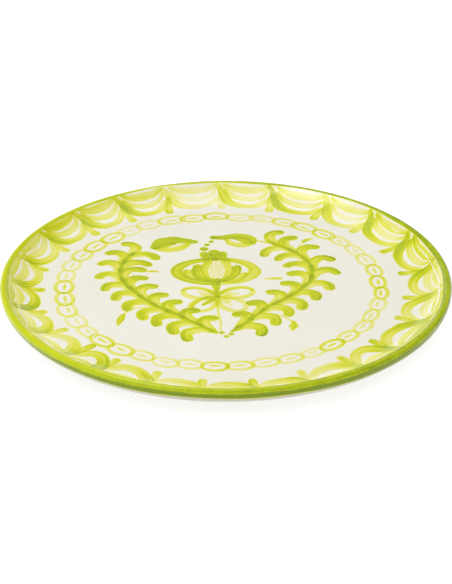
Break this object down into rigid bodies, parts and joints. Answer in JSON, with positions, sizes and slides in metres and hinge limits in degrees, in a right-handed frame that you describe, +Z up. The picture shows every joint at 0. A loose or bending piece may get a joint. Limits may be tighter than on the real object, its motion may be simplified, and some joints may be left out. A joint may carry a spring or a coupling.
{
  "type": "serving plate",
  "caption": "Round shallow earthenware serving plate with a rolled lip, a low curved wall, a flat painted well and a turned foot ring.",
  "frame": {"origin": "on the plate's axis, at the standing face of the foot ring", "axes": "+Z up out of the well, along the plate's axis; -Y is the side nearest the viewer, below the painted fruit's stem; +X to the viewer's right"},
  "size_m": [0.31, 0.31, 0.022],
  "materials": {
    "fired_clay": "matt",
    "painted_glaze": "glossy",
    "green_glaze": "glossy",
    "white_glaze": "glossy"
  },
  "bodies": {
    "root": {"clay_body": "fired_clay", "foot_ring": "fired_clay", "well_glaze": "painted_glaze", "rim_glaze": "green_glaze", "underside_glaze": "white_glaze", "base_glaze": "white_glaze"}
  },
  "joints": []
}
